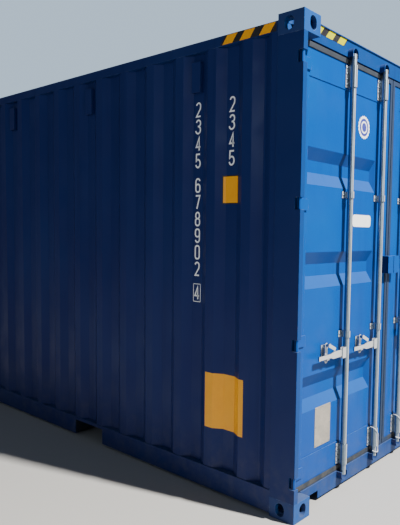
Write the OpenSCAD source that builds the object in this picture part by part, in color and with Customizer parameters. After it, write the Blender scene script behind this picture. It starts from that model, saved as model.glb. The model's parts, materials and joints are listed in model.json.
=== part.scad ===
// Twenty foot high cube freight container, all steel, with two hinged doors at one end.
// The doors look towards -Y, the origin is on the ground under the middle of the box.
// Corner pieces are drawn in the left door corner, x and y counted inwards from the
// outer planes, and then mirrored to the other corners.

/* [Envelope] */
// Length over the corner castings
length_over = 6058; // [5600:1:6400]
// Width over the corner castings
width_over = 2438; // [2300:1:2600]
// Height over the corner castings
height_over = 2896; // [2591:1:2990]

/* [Corner castings] */
// Casting size across the box
casting_w = 162; // [150:1:180]
// Casting size along the box
casting_l = 178; // [165:1:190]
// Casting height
casting_h = 118; // [110:1:130]
// Thickness of the walls with apertures
casting_wall = 29; // [20:1:34]
// Thickness of the closed inner walls
casting_back = 14; // [8:1:20]
// Aperture centre from the side plane
aperture_from_side = 89; // [86:0.5:92]
// Aperture centre from the end plane
aperture_from_end = 101.5; // [98:0.5:104]
// Width of every aperture
aperture_w = 63.5; // [57:0.5:66]
// Length of the lifting aperture
slot_l = 124; // [110:1:130]
// Height of the side and end apertures
aperture_h = 79.5; // [70:0.5:82]

/* [Door posts] */
// Width of the front strip of the outer pressing
post_strip_w = 38; // [30:1:44]
// Thickness of the outer pressing
post_plate = 6; // [4:0.5:8]
// How far the posts reach in from the side
post_w = 49; // [45:1:60]
// Front face of the inner channel from the end plane
channel_from_end = 82; // [80:1:100]
// Thickness of the inner channel
channel_plate = 10; // [6:1:12]

/* [Front posts] */
// Width of the front post's end face
front_post_w = 120; // [100:1:150]
// Width of the lips that the walls meet
front_post_lip = 62; // [55:1:80]

/* [Rails] */
// Side of the square top rail
top_rail = 60; // [50:1:80]
// Wall of the square top rail
top_rail_wall = 3; // [2:0.5:6]
// Height of the top rail's upper face below the casting tops
top_rail_drop = 33; // [30:1:50]
// Clearance of rails inside the side planes
rail_setback = 3; // [1:1:6]
// Height of the underside of the bottom rails
underside = 18; // [12.5:0.5:22]
// Height of the upper face of the bottom rails
bottom_rail_top = 157; // [150:1:164]
// Width of the bottom rail's top flange
bottom_rail_flange = 48; // [44:1:60]
// Width of the bottom rail's lower flange
bottom_rail_foot = 30; // [20:1:44]
// Plate of the bottom rails, the sill and the header
rail_plate = 4.5; // [3:0.5:8]

/* [Side walls] */
// Spacing of the ridges
side_pitch = 292; // [280:1:310]
// Width of an outer ridge
side_ridge = 72; // [60:1:80]
// Run of a slope along the wall
side_slope = 64; // [50:1:72]
// Depth of the corrugation
side_depth = 36; // [24:1:37]
// Sheet thickness of the side walls
side_sheet = 2; // [1.5:0.1:3]
// Ridges from the side plane
side_setback = 5; // [4:1:8]
// Flat at each end of the wall, from the end plane
side_end_flat = 224; // [200:1:226]

/* [Front wall] */
// Spacing of the front wall's ridges
front_pitch = 250; // [230:1:252]
// Width of a front ridge
front_ridge = 110; // [90:1:120]
// Run of a front slope
front_slope = 18; // [10:1:22]
// Depth of the front corrugation
front_depth = 45.6; // [30:0.1:46]
// Least flat beside the first front ridge
front_edge = 50; // [20:1:80]
// Ridges from the end plane
front_setback = 8; // [7:1:12]

/* [Roof] */
// Spacing of the roof's ribs
roof_pitch = 209; // [200:1:220]
// Width of a rib's top
roof_rib = 91; // [60:1:100]
// Run of a rib's slope
roof_slope = 13.5; // [8:0.5:20]
// Height of a rib
roof_rise = 20; // [12:1:22]
// Sheet thickness of the roof
roof_sheet = 2; // [1.5:0.1:3]
// Flat margin of the roof along the rails
roof_margin = 70; // [50:1:100]

/* [Floor and base] */
// Height of the floor's upper face
floor_top = 165; // [160:1:170]
// Thickness of the floor
floor_board = 28; // [20:1:30]
// Pitch of the cross members
member_pitch = 300; // [260:1:340]
// Width of a cross member's top flange
member_flange = 45; // [40:1:60]
// Thickness of a cross member
member_plate = 4; // [3:0.5:6]
// Clear width of a fork pocket
pocket_w = 360; // [350:1:400]
// Distance between the fork pocket centres
pocket_spacing = 2050; // [1950:10:2150]

/* [Door end frame] */
// Front face of the header and the sill from the end plane
header_from_end = 64; // [62:1:68]
// Underside of the header below the casting tops
header_drop = 115; // [105:1:122]
// Upper face of the header below the casting tops
header_top_drop = 13; // [12:1:30]
// Front edge of the header's top plate from the end plane
header_lip_from_end = 57; // [45:1:62]
// Thickness of the header's top plate
header_lip = 5; // [4:0.5:8]
// Height of the sill's front part
sill_top = 122; // [119:1:130]
// Length of the cut-outs at the sill's ends
sill_notch_l = 185; // [120:1:220]
// Height of the cut-outs at the sill's ends
sill_notch_h = 68; // [50:1:90]

/* [Doors] */
// Outer face of the door leaves from the end plane
door_from_end = 76; // [74:1:78]
// Thickness of a door leaf
door_t = 50; // [40:1:56]
// Width of the leaf's upright members
stile_w = 86; // [80:1:110]
// Height of the leaf's top and bottom members
rail_h = 160; // [150:1:175]
// Wall of the leaf's hollow members
door_tube_wall = 3.2; // [2:0.1:5]
// Sheet thickness of the door panel
door_sheet = 2; // [1.5:0.1:3]
// How far the panel lies behind the leaf's face
panel_setback = 4; // [2:1:8]
// Depth of the panel's grooves
groove_depth = 30; // [20:1:32]
// Height of a groove's mouth
groove_h = 224; // [180:1:240]
// Height of a groove's slope
groove_slope = 76; // [50:1:80]
// Middle of the lowest groove above the ground
groove_low_z = 704; // [650:1:730]
// Middle of the second groove above the ground
groove_middle_z = 1454; // [1300:1:1600]
// Middle of the highest groove above the ground
groove_high_z = 2074; // [2050:1:2300]
// Distance of the grooves' ends from the middle of the box
groove_from_middle = 215; // [190:1:240]
// Width of the gasket round a leaf
gasket_w = 30; // [20:1:34]
// Gap between gasket and frame
gasket_gap = 5; // [5:0.5:9]
// How far the gasket stands before the leaf's face
gasket_proud = 6; // [2:1:8]
// Gap between the two leaves' gaskets
meeting_gap = 8; // [7:0.5:12]

/* [Hinges] */
// Hinge pin from the side plane and from the end plane
pin_in = 19; // [18:0.5:20]
// Diameter of the hinge pins
pin_d = 18; // [14:0.5:18]
// Radius of the hinge knuckles
knuckle_r = 13; // [12:0.5:13]
// Height of the hinge knuckles
knuckle_h = 66; // [50:1:80]
// Height of the lugs above and below a knuckle
lug_h = 14; // [10:1:18]
// Thickness of the hinge blades
blade_t = 9; // [6:0.5:10]
// Length of the blade on the leaf
blade_l = 98; // [96:1:150]
// Height of the lowest hinge
hinge_first = 238; // [225:1:260]
// Highest hinge below the casting tops
hinge_drop = 252; // [240:1:280]

/* [Locking gear] */
// Diameter of the locking bars
bar_d = 38; // [30:0.5:38]
// Wall of the locking bars
bar_wall = 3; // [2:0.1:5]
// Bar axis from the end plane
bar_from_end = 40; // [39:0.5:42]
// Outer bar from the side plane
outer_bar_x = 608; // [560:1:680]
// Inner bar from the middle of the box
inner_bar_x = 186; // [160:1:200]
// Height of the handles
handle_z = 915; // [860:1:990]
// Length of a handle from the bar
handle_l = 322; // [300:1:380]
// Distance of the handle catch from the bar
catch_x = 222; // [180:1:250]
// Width of the flat handle at its root
handle_w = 44; // [36:1:48]
// Width of the handle's grip
grip_w = 26; // [22:1:36]
// Thickness of the flat handle
handle_t = 10; // [8:1:12]
// Running clearance round bars
bar_play = 0.6; // [0.5:0.1:2]
// Height of the lower guide of each bar
guide_low_z = 1010; // [1000:1:1200]
// Height of the upper guide of each bar
guide_high_z = 1904; // [1700:1:1910]
// Height of a guide
guide_h = 42; // [30:1:60]
// Height of an end bearing
bearing_h = 136; // [90:1:140]

/* [Lock box] */
// Reach of each half of the lock box from the middle of the box
box_reach = 83; // [60:1:95]
// Height of the lock box's front
box_h = 122; // [100:1:140]
// Height of the middle of the lock box
box_z = 1462; // [1400:1:1520]
// Front of the lock box from the end plane
box_from_end = 20; // [16:1:30]
// Plate of the lock box
box_plate = 4; // [3:0.5:6]

/* [Ventilators] */
// Height of a ventilator
vent_h = 190; // [150:1:220]
// Top of the ventilators below the casting tops
vent_drop = 146; // [125:1:180]
// Width of a ventilator
vent_w = 78; // [60:1:86]
// How far a ventilator stands out of its trough
vent_out = 30; // [20:1:34]
// Plate of a ventilator's hood
vent_plate = 3; // [2:0.5:4]
// Ridges between neighbouring ventilators
vent_step = 4; // [2:1:6]

/* [Hidden] */
$fn = 32;
eps = 1;

half_w = width_over / 2;
half_l = length_over / 2;
top_of_casting_foot = casting_h;
foot_of_top_casting = height_over - casting_h;
rail_top_z = height_over - top_rail_drop;
rail_foot_z = rail_top_z - top_rail;
header_foot_z = height_over - header_drop;
header_top_z = height_over - header_top_drop;
sheet_foot_z = bottom_rail_top;
floor_foot = floor_top - floor_board;

// The leaf's steel edges, from the side plane and above the ground
leaf_edge = post_w + gasket_gap + gasket_w;
leaf_meet = half_w - meeting_gap / 2 - gasket_w;
leaf_foot = max(sill_top, casting_h) + gasket_gap + gasket_w;
leaf_top = min(header_foot_z, foot_of_top_casting) - gasket_gap - gasket_w;
panel_edge = leaf_edge + stile_w;
panel_meet = leaf_meet - stile_w;
panel_foot = leaf_foot + rail_h;
panel_top = leaf_top - rail_h;

// Bars of the left leaf, from the side plane
bar_x = [outer_bar_x, half_w - inner_bar_x];
cam_h = 16;
cam_reach = 24;
cam_play = 6;
cam_inset = 4;
keeper_gap = cam_reach + cam_play;
keeper_cheek = 7;
keeper_r = keeper_gap + keeper_cheek;
keeper_leg = cam_inset + cam_h + 2;
keeper_low_z = sill_top - 2;
keeper_high_z = header_foot_z - 2;
bar_foot_z = keeper_low_z - cam_inset - cam_h;
bar_top_z = keeper_high_z + cam_inset + cam_h;
bearing_inset = 12;
bearing_foot_z = leaf_foot + bearing_inset;
bearing_top_z = leaf_top - bearing_inset - bearing_h;

// Colours as painted
blue = "#1d3f74";
dark_blue = "#16294f";
zinc = "#c3c8cb";
rubber = "#4a453f";
wood = "#8a5f3a";

// Placement in the frame of the whole box
module left_door_corner() {
    translate([-half_w, -half_l, 0]) children();
}
module on_right() {
    mirror([1, 0, 0]) children();
}
module on_front() {
    mirror([0, 1, 0]) children();
}

// A slot with round ends, centred, its length along y
module slot_profile(length, width) {
    square([width, length - width], center = true);
    for (end = [-1, 1])
        translate([0, end * (length - width) / 2]) circle(d = width);
}

// One casting with its outer corner at the origin, lying on its lifting face
module casting_solid() {
    difference() {
        cube([casting_w, casting_l, casting_h]);
        translate([casting_wall, casting_wall, casting_wall])
            cube([
                casting_w - casting_wall - casting_back,
                casting_l - casting_wall - casting_back,
                casting_h - casting_wall - casting_back
            ]);
        translate([aperture_from_side, aperture_from_end, -eps])
            linear_extrude(casting_wall + 2 * eps) slot_profile(slot_l, aperture_w);
        translate([aperture_from_side, -eps, casting_h / 2])
            rotate([-90, 0, 0])
                linear_extrude(casting_wall + 2 * eps) slot_profile(aperture_h, aperture_w);
        translate([-eps, aperture_from_end, casting_h / 2])
            rotate([90, 0, 90])
                linear_extrude(casting_wall + 2 * eps) slot_profile(aperture_h, aperture_w);
    }
}
module casting_foot() {
    left_door_corner() casting_solid();
}
module casting_head() {
    left_door_corner() translate([0, 0, height_over]) mirror([0, 0, 1]) casting_solid();
}
module casting_door_left_bottom() { color(blue) casting_foot(); }
module casting_door_right_bottom() { color(blue) on_right() casting_foot(); }
module casting_front_left_bottom() { color(blue) on_front() casting_foot(); }
module casting_front_right_bottom() { color(blue) on_front() on_right() casting_foot(); }
module casting_door_left_top() { color(blue) casting_head(); }
module casting_door_right_top() { color(blue) on_right() casting_head(); }
module casting_front_left_top() { color(blue) on_front() casting_head(); }
module casting_front_right_top() { color(blue) on_front() on_right() casting_head(); }

// Heights of the middles of the four hinges
hinge_pitch = (height_over - hinge_drop - hinge_first) / 3;
function hinge_z(i) = hinge_first + i * hinge_pitch;
notch_reach = pin_in + knuckle_r + 6;
notch_h = knuckle_h + 2;

// Door post: outer pressing with a front strip, and the inner channel behind the leaf
module post_section() {
    square([post_plate, casting_l]);
    square([post_strip_w, post_plate]);
    translate([post_plate, casting_l - channel_plate])
        square([post_w - post_plate, channel_plate]);
    translate([post_w - channel_plate, channel_from_end])
        square([channel_plate, casting_l - channel_from_end]);
    translate([post_plate, channel_from_end])
        square([post_w - post_plate, channel_plate]);
}
module hinge_lug(z) {
    difference() {
        translate([post_plate - eps, post_plate - eps, z])
            cube([post_strip_w - post_plate - 2, notch_reach - post_plate, lug_h]);
        translate([pin_in, pin_in, z - eps]) cylinder(d = pin_d, h = lug_h + 2 * eps);
    }
}
module door_post() {
    left_door_corner() {
        difference() {
            translate([0, 0, casting_h])
                linear_extrude(height_over - 2 * casting_h) post_section();
            for (i = [0:3])
                translate([-eps, -eps, hinge_z(i) - notch_h / 2])
                    cube([post_strip_w + 2 * eps, notch_reach + eps, notch_h]);
            for (i = [0:3])
                translate([pin_in, pin_in, hinge_z(i) - notch_h / 2 - lug_h - eps])
                    cylinder(d = pin_d, h = notch_h + 2 * lug_h + 2 * eps);
        }
        for (i = [0:3]) {
            hinge_lug(hinge_z(i) + notch_h / 2);
            hinge_lug(hinge_z(i) - notch_h / 2 - lug_h);
        }
    }
}
module door_post_left() { color(blue) door_post(); }
module door_post_right() { color(blue) on_right() door_post(); }

module hinge_pin_row() {
    left_door_corner()
        for (i = [0:3])
            translate([pin_in, pin_in, hinge_z(i) - notch_h / 2 - lug_h])
                cylinder(d = pin_d - 0.1, h = notch_h + 2 * lug_h + 4);
}
module hinge_pins() {
    color(zinc) {
        hinge_pin_row();
        on_right() hinge_pin_row();
    }
}

// Front post: one bent plate with a lip for each wall
module front_post() {
    left_door_corner()
        translate([0, 0, casting_h])
            linear_extrude(height_over - 2 * casting_h) {
                square([post_plate, casting_l]);
                square([front_post_w, post_plate]);
                translate([0, casting_l - post_plate]) square([front_post_lip, post_plate]);
                translate([front_post_w - post_plate, 0]) square([post_plate, front_post_lip]);
            }
}
module front_post_left() { color(blue) on_front() front_post(); }
module front_post_right() { color(blue) on_front() on_right() front_post(); }

// Top rail, a square tube between the castings
module top_rail_tube() {
    left_door_corner()
        translate([rail_setback, casting_l, rail_foot_z])
            rotate([-90, 0, 0])
                mirror([0, 1, 0])
                    linear_extrude(length_over - 2 * casting_l)
                        difference() {
                            square(top_rail);
                            translate([top_rail_wall, top_rail_wall])
                                square(top_rail - 2 * top_rail_wall);
                        }
}
module top_rail_left() { color(blue) top_rail_tube(); }
module top_rail_right() { color(blue) on_right() top_rail_tube(); }

// Middles of the fork pockets along the box
function pocket_y() = [half_l - pocket_spacing / 2, half_l + pocket_spacing / 2];
pocket_head = floor_foot - rail_plate;

// Bottom rail, a channel with its web outside, cut for the fork pockets
module bottom_rail() {
    left_door_corner()
        difference() {
            translate([0, casting_l, 0])
                rotate([-90, 0, 0])
                    mirror([0, 1, 0])
                        linear_extrude(length_over - 2 * casting_l) {
                            translate([0, underside])
                                square([rail_plate, bottom_rail_top - underside]);
                            translate([0, bottom_rail_top - rail_plate])
                                square([bottom_rail_flange, rail_plate]);
                            translate([0, underside]) square([bottom_rail_foot, rail_plate]);
                        }
            for (y = pocket_y())
                translate([-eps, y - pocket_w / 2, underside - eps])
                    cube([bottom_rail_flange + 2 * eps, pocket_w, pocket_head - underside + eps]);
        }
}
module bottom_rail_left() { color(dark_blue) bottom_rail(); }
module bottom_rail_right() { color(dark_blue) on_right() bottom_rail(); }

// Door header, a hollow box between the castings with a stop behind the leaves and a top plate
stop_from_end = door_from_end + door_t + 12;
module door_header() {
    header_deep = casting_l - header_from_end;
    color(blue) {
        difference() {
            translate([-half_w + casting_w, -half_l + header_from_end, header_foot_z])
                cube([width_over - 2 * casting_w, header_deep, header_top_z - header_foot_z]);
            translate([
                -half_w + casting_w - eps,
                -half_l + header_from_end + rail_plate,
                header_foot_z + rail_plate
            ])
                cube([
                    width_over - 2 * casting_w + 2 * eps,
                    header_deep - 2 * rail_plate,
                    header_top_z - header_foot_z - 2 * rail_plate
                ]);
        }
        translate([-half_w + post_w, -half_l + stop_from_end, leaf_top - 8])
            cube([width_over - 2 * post_w, rail_plate, foot_of_top_casting - leaf_top + 8]);
        translate([-half_w + casting_w, -half_l + stop_from_end, leaf_top - 8])
            cube([width_over - 2 * casting_w, rail_plate, header_foot_z - leaf_top + 8 + eps]);
        translate([-half_w + casting_w, -half_l + header_lip_from_end, header_top_z - eps])
            cube([width_over - 2 * casting_w, casting_l - header_lip_from_end, header_lip + eps]);
    }
}

// Door sill, a hollow front beam with cut-outs at its ends and a step up to the floor
module door_sill() {
    color(blue) {
        difference() {
            translate([-half_w + casting_w, -half_l + header_from_end, underside])
                cube([width_over - 2 * casting_w, casting_l - header_from_end, sill_top - underside]);
            translate([
                -half_w + casting_w - eps,
                -half_l + header_from_end + rail_plate,
                underside - eps
            ])
                cube([
                    width_over - 2 * casting_w + 2 * eps,
                    casting_l - header_from_end - 2 * rail_plate,
                    sill_top - underside - rail_plate + eps
                ]);
            for (side = [-1, 1])
                translate([
                    side * (half_w - casting_w - sill_notch_l / 2) - sill_notch_l / 2 - eps,
                    -half_l + header_from_end - eps,
                    underside - eps
                ])
                    cube([sill_notch_l + 2 * eps, rail_plate + 2 * eps, sill_notch_h - underside + eps]);
        }
        translate([-half_w + post_w, -half_l + stop_from_end, casting_h])
            cube([width_over - 2 * post_w, casting_l - stop_from_end, floor_top - casting_h]);
    }
}

// Front top rail, a hollow box between the castings
module front_top_rail() {
    color(blue)
        on_front()
            difference() {
                translate([-half_w + casting_w, -half_l + rail_setback, foot_of_top_casting])
                    cube([width_over - 2 * casting_w, top_rail, rail_top_z - foot_of_top_casting]);
                translate([
                    -half_w + casting_w - eps,
                    -half_l + rail_setback + top_rail_wall,
                    foot_of_top_casting + top_rail_wall
                ])
                    cube([
                        width_over - 2 * casting_w + 2 * eps,
                        top_rail - 2 * top_rail_wall,
                        rail_top_z - foot_of_top_casting - 2 * top_rail_wall
                    ]);
            }
}

// Front bottom rail, a channel open inwards, its upper part over the castings
module front_bottom_rail() {
    color(dark_blue)
        on_front() {
            translate([-half_w + casting_w, -half_l + rail_setback, underside])
                cube([width_over - 2 * casting_w, rail_plate, bottom_rail_top - underside]);
            translate([-half_w + front_post_w, -half_l + rail_setback + rail_plate - eps, casting_h])
                cube([width_over - 2 * front_post_w, rail_plate, bottom_rail_top - casting_h]);
            translate([-half_w + front_post_w, -half_l + rail_setback + rail_plate - eps,
                bottom_rail_top - rail_plate])
                cube([width_over - 2 * front_post_w, top_rail, rail_plate]);
            translate([-half_w + casting_w, -half_l + rail_setback, underside])
                cube([width_over - 2 * casting_w, top_rail, rail_plate]);
        }
}

// A corrugated sheet's section: flats at 0 on the ridges and at depth in the troughs.
// starts lists where each ridge begins, the sheet runs from 0 to run.
function wave_front(starts, ridge, slope, depth, first, last) = concat(
    [[0, 0], [first, 0], [first + slope, depth]],
    [for (s = starts) each [[s - slope, depth], [s, 0], [s + ridge, 0], [s + ridge + slope, depth]]],
    [[last - slope, depth], [last, 0]]
);
module wave_section(starts, ridge, slope, depth, sheet, first, last, run) {
    shift = sheet * tan(atan2(depth, slope) / 2);
    front = concat(wave_front(starts, ridge, slope, depth, first, last), [[run, 0]]);
    back = concat(
        [[0, sheet], [first - shift, sheet], [first + slope - shift, depth + sheet]],
        [for (s = starts) each [
            [s - slope + shift, depth + sheet], [s + shift, sheet],
            [s + ridge - shift, sheet], [s + ridge + slope - shift, depth + sheet]
        ]],
        [[last - slope + shift, depth + sheet], [last + shift, sheet], [run, sheet]]
    );
    polygon(concat(front, [for (i = [len(back) - 1:-1:0]) back[i]]));
}

// Where the side wall's ridges begin, from the wall's end at the post
wall_run = length_over - 2 * casting_l;
side_half = floor((half_l - side_end_flat - 2 * side_slope - side_ridge / 2) / side_pitch);
side_ridges = 2 * side_half + 1;
function ridge_middle(i) = half_l + (i - side_half) * side_pitch;
side_starts = [for (i = [0:side_ridges - 1]) ridge_middle(i) - side_ridge / 2 - casting_l];
module side_wall() {
    first = side_end_flat - casting_l;
    left_door_corner()
        translate([side_setback, casting_l, sheet_foot_z])
            linear_extrude(rail_foot_z - sheet_foot_z)
                mirror([1, -1, 0])
                    wave_section(side_starts, side_ridge, side_slope, side_depth,
                        side_sheet, first, wall_run - first, wall_run);
}
module left_wall() { color(dark_blue) side_wall(); }
module right_wall() { color(dark_blue) on_right() side_wall(); }

// Front wall between the front posts
front_run = width_over - 2 * front_post_w;
front_margin = front_edge + 2 * front_slope;
front_ridges = floor((front_run - front_ridge - 2 * front_margin) / front_pitch) + 1;
front_first = (front_run - (front_ridges - 1) * front_pitch - front_ridge) / 2;
front_starts = [for (i = [0:front_ridges - 1]) front_first + i * front_pitch];
module front_wall() {
    edge = (front_first - 2 * front_slope) / 2;
    color(dark_blue)
        on_front()
            translate([-half_w + front_post_w, -half_l + front_setback, bottom_rail_top])
                linear_extrude(foot_of_top_casting - bottom_rail_top)
                    wave_section(front_starts, front_ridge, front_slope, front_depth,
                        side_sheet, edge, front_run - edge, front_run);
}

// Roof sheet with pressed ribs across the box, closed at their ends
roof_room = wall_run - roof_rib - 2 * roof_slope - 2 * roof_sheet;
roof_ribs = floor(roof_room / roof_pitch) + 1;
module rib_bars(grow, top, foot) {
    first = half_l - (roof_ribs - 1) * roof_pitch / 2;
    rotate([90, 0, 90])
        linear_extrude(width_over)
            for (i = [0:roof_ribs - 1]) {
                y = first + i * roof_pitch;
                polygon([
                    [y - roof_rib / 2 - roof_slope - grow, foot],
                    [y - roof_rib / 2 - grow, top],
                    [y + roof_rib / 2 + grow, top],
                    [y + roof_rib / 2 + roof_slope + grow, foot]
                ]);
            }
}
module rib_limits(inset, top, foot) {
    edge = rail_setback + top_rail + roof_margin + inset;
    rotate([90, 0, 0])
        mirror([0, 0, 1])
            linear_extrude(length_over)
                polygon([
                    [edge, foot], [edge + roof_slope, top],
                    [width_over - edge - roof_slope, top], [width_over - edge, foot]
                ]);
}
module roof() {
    sheet_edge = rail_setback + roof_sheet;
    color(dark_blue)
        left_door_corner()
            translate([0, 0, rail_top_z])
                difference() {
                    union() {
                        translate([sheet_edge, casting_l, 0])
                            cube([width_over - 2 * sheet_edge, wall_run, roof_sheet]);
                        translate([casting_w, casting_l + wall_run - eps, 0])
                            cube([width_over - 2 * casting_w, casting_l - rail_setback + eps, roof_sheet]);
                        intersection() {
                            rib_bars(0, roof_sheet + roof_rise, roof_sheet);
                            rib_limits(0, roof_sheet + roof_rise, roof_sheet);
                        }
                    }
                    intersection() {
                        rib_bars(-roof_sheet, roof_rise, -eps);
                        rib_limits(roof_sheet, roof_rise, -eps);
                    }
                }
}

// Floor between the sill and the front rail, narrower between the front posts
floor_gap = 4;
module floor_boards() {
    edge = bottom_rail_flange + floor_gap;
    post_edge = front_post_lip + floor_gap;
    front_room = casting_l - rail_setback - rail_plate - top_rail - floor_gap;
    color(wood)
        left_door_corner() {
            translate([edge, casting_l, floor_foot])
                cube([width_over - 2 * edge, wall_run, floor_board]);
            translate([post_edge, casting_l + wall_run - eps, floor_foot])
                cube([width_over - 2 * post_edge, front_room + eps, floor_board]);
        }
}

// Cross members, channels under the floor, left out where a fork pocket passes
member_room = length_over - 2 * casting_l - 2 * member_flange;
member_gaps = floor(member_room / member_pitch);
function member_y(i) = casting_l + member_flange / 2 + i * member_room / member_gaps;
function near_pocket(y) =
    min([for (p = pocket_y()) abs(y + member_flange / 2 - p)]) < pocket_w / 2 + member_flange;
module cross_member() {
    foot = underside + rail_plate;
    rotate([90, 0, 90])
        linear_extrude(width_over - 2 * rail_plate) {
            translate([0, foot]) square([member_plate, floor_foot - foot]);
            translate([0, floor_foot - member_plate]) square([member_flange, member_plate]);
            translate([0, foot]) square([member_flange - member_plate, member_plate]);
        }
}
module cross_members() {
    color(dark_blue)
        left_door_corner()
            for (i = [0:member_gaps])
                if (!near_pocket(member_y(i)))
                    translate([rail_plate, member_y(i), 0]) cross_member();
}

// Fork pockets, tunnels open below that run right through under the floor
module fork_pockets() {
    foot = underside + rail_plate;
    color(dark_blue)
        left_door_corner()
            for (y = pocket_y())
                difference() {
                    translate([rail_plate, y - pocket_w / 2 - rail_plate, foot])
                        cube([width_over - 2 * rail_plate, pocket_w + 2 * rail_plate, floor_foot - foot]);
                    translate([0, y - pocket_w / 2, foot - eps])
                        cube([width_over, pocket_w, pocket_head - foot + eps]);
                }
}

// Ventilators in the troughs near the top of the side walls
module ventilator() {
    difference() {
        cube([vent_out, vent_w, vent_h]);
        translate([vent_plate, vent_plate, -eps])
            cube([vent_out, vent_w - 2 * vent_plate, vent_h - vent_plate + eps]);
    }
}
vent_count = floor((side_ridges - 3) / vent_step) + 1;
module ventilator_row() {
    left_door_corner()
        for (i = [0:vent_count - 1])
            translate([
                side_setback + side_depth - vent_out,
                (ridge_middle(1 + i * vent_step) + ridge_middle(2 + i * vent_step) - vent_w) / 2,
                height_over - vent_drop - vent_h
            ])
                ventilator();
}
module ventilators() {
    color(dark_blue) {
        ventilator_row();
        on_right() ventilator_row();
    }
}

// Cam keepers on header and sill: an arch round each cam, its legs towards the leaf
keeper_deep = header_from_end - bar_from_end + 15;
module cam_keeper() {
    translate([0, header_from_end, 0])
        rotate([90, 0, 0])
            linear_extrude(keeper_deep)
                difference() {
                    union() {
                        translate([0, keeper_leg]) circle(r = keeper_r);
                        translate([-keeper_r, 0]) square([2 * keeper_r, keeper_leg]);
                    }
                    translate([0, keeper_leg]) circle(r = keeper_gap);
                    translate([-keeper_gap, -eps]) square([2 * keeper_gap, keeper_leg + eps]);
                    translate([-keeper_r - eps, -keeper_r]) square([2 * keeper_r + 2 * eps, keeper_r]);
                }
}
module cam_keepers_half() {
    left_door_corner()
        for (x = bar_x) {
            translate([x, 0, keeper_high_z]) cam_keeper();
            translate([x, 0, keeper_low_z]) mirror([0, 0, 1]) cam_keeper();
        }
}
module cam_keepers() {
    color(blue) {
        cam_keepers_half();
        on_right() cam_keepers_half();
    }
}

// Left leaf: hollow members round the panel
module leaf_ring(inset, y, t) {
    difference() {
        translate([leaf_edge + inset, y, leaf_foot + inset])
            cube([leaf_meet - leaf_edge - 2 * inset, t, leaf_top - leaf_foot - 2 * inset]);
        translate([panel_edge - inset, y - eps, panel_foot - inset])
            cube([panel_meet - panel_edge + 2 * inset, t + 2 * eps, panel_top - panel_foot + 2 * inset]);
    }
}
module door_frame() {
    left_door_corner()
        difference() {
            leaf_ring(0, door_from_end, door_t);
            leaf_ring(door_tube_wall, door_from_end + door_tube_wall, door_t - 2 * door_tube_wall);
        }
}
module left_door_frame() { color(blue) door_frame(); }
module right_door_frame() { color(blue) on_right() door_frame(); }

// Panel with three grooves pressed inwards, closed at their ends
panel_h = panel_top - panel_foot;
groove_end = 6;
module groove_bars(grow, front, back) {
    translate([panel_edge, 0, 0])
        rotate([90, 0, 90])
            linear_extrude(panel_meet - panel_edge)
                for (z = [groove_low_z, groove_middle_z, groove_high_z])
                    polygon([
                        [front, z - groove_h / 2 - grow],
                        [front, z + groove_h / 2 + grow],
                        [back, z + groove_h / 2 - groove_slope + grow],
                        [back, z - groove_h / 2 + groove_slope - grow]
                    ]);
}
module groove_limits(grow, front, back) {
    low = panel_edge + groove_end;
    high = half_w - groove_from_middle;
    translate([0, 0, panel_foot])
        linear_extrude(panel_h)
            polygon([
                [low - grow, front], [high + grow, front],
                [high - groove_depth + grow, back], [low + groove_depth - grow, back]
            ]);
}
module door_panel() {
    front = door_from_end + panel_setback;
    back = front + groove_depth;
    left_door_corner()
        difference() {
            union() {
                translate([panel_edge, front, panel_foot])
                    cube([panel_meet - panel_edge, door_sheet, panel_h]);
                intersection() {
                    groove_bars(door_sheet, front, back + door_sheet);
                    groove_limits(door_sheet, front, back + door_sheet);
                }
            }
            intersection() {
                groove_bars(0, front - eps, back);
                groove_limits(0, front - eps, back);
            }
        }
}
module left_door_panel() { color(blue) door_panel(); }
module right_door_panel() { color(blue) on_right() door_panel(); }

// Rubber gasket round the leaf, a wide front lip and a narrower body
gasket_lip = 12;
gasket_step = 7;
gasket_body_y = door_from_end - gasket_proud + gasket_lip - eps;
module gasket_ring(reach, y, t) {
    difference() {
        translate([leaf_edge - reach, y, leaf_foot - reach])
            cube([leaf_meet - leaf_edge + 2 * reach, t, leaf_top - leaf_foot + 2 * reach]);
        translate([leaf_edge, y - eps, leaf_foot])
            cube([leaf_meet - leaf_edge, t + 2 * eps, leaf_top - leaf_foot]);
    }
}
module door_gasket() {
    left_door_corner() {
        difference() {
            gasket_ring(gasket_w, door_from_end - gasket_proud, gasket_lip);
            for (i = [0:3])
                translate([
                    leaf_edge - gasket_w - eps,
                    door_from_end - gasket_proud - eps,
                    hinge_z(i) - knuckle_h / 2 - eps
                ])
                    cube([gasket_w + 2 * eps, gasket_proud + 1.5 * eps, knuckle_h + 2 * eps]);
        }
        gasket_ring(gasket_w - gasket_step, gasket_body_y, door_from_end + door_t - 8 - gasket_body_y);
    }
}
module left_door_gasket() { color(rubber) door_gasket(); }
module right_door_gasket() { color(rubber) on_right() door_gasket(); }

// Hinge blades: a knuckle on the pin, a leg to the leaf's plane and a strap on its face
module hinge_blade() {
    strap_y = door_from_end - blade_t;
    difference() {
        union() {
            cylinder(r = knuckle_r, h = knuckle_h, center = true);
            translate([-blade_t / 2, 0, -knuckle_h / 2])
                cube([blade_t, strap_y - pin_in + eps, knuckle_h]);
            translate([-blade_t / 2, strap_y - pin_in, -knuckle_h / 2])
                cube([leaf_edge - pin_in + blade_l, blade_t, knuckle_h]);
        }
        cylinder(d = pin_d + 0.6, h = knuckle_h + 2 * eps, center = true);
    }
}
module door_hinges() {
    left_door_corner()
        for (i = [0:3])
            translate([pin_in, pin_in, hinge_z(i)]) hinge_blade();
}
module left_door_hinges() { color(blue) door_hinges(); }
module right_door_hinges() { color(blue) on_right() door_hinges(); }

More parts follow.
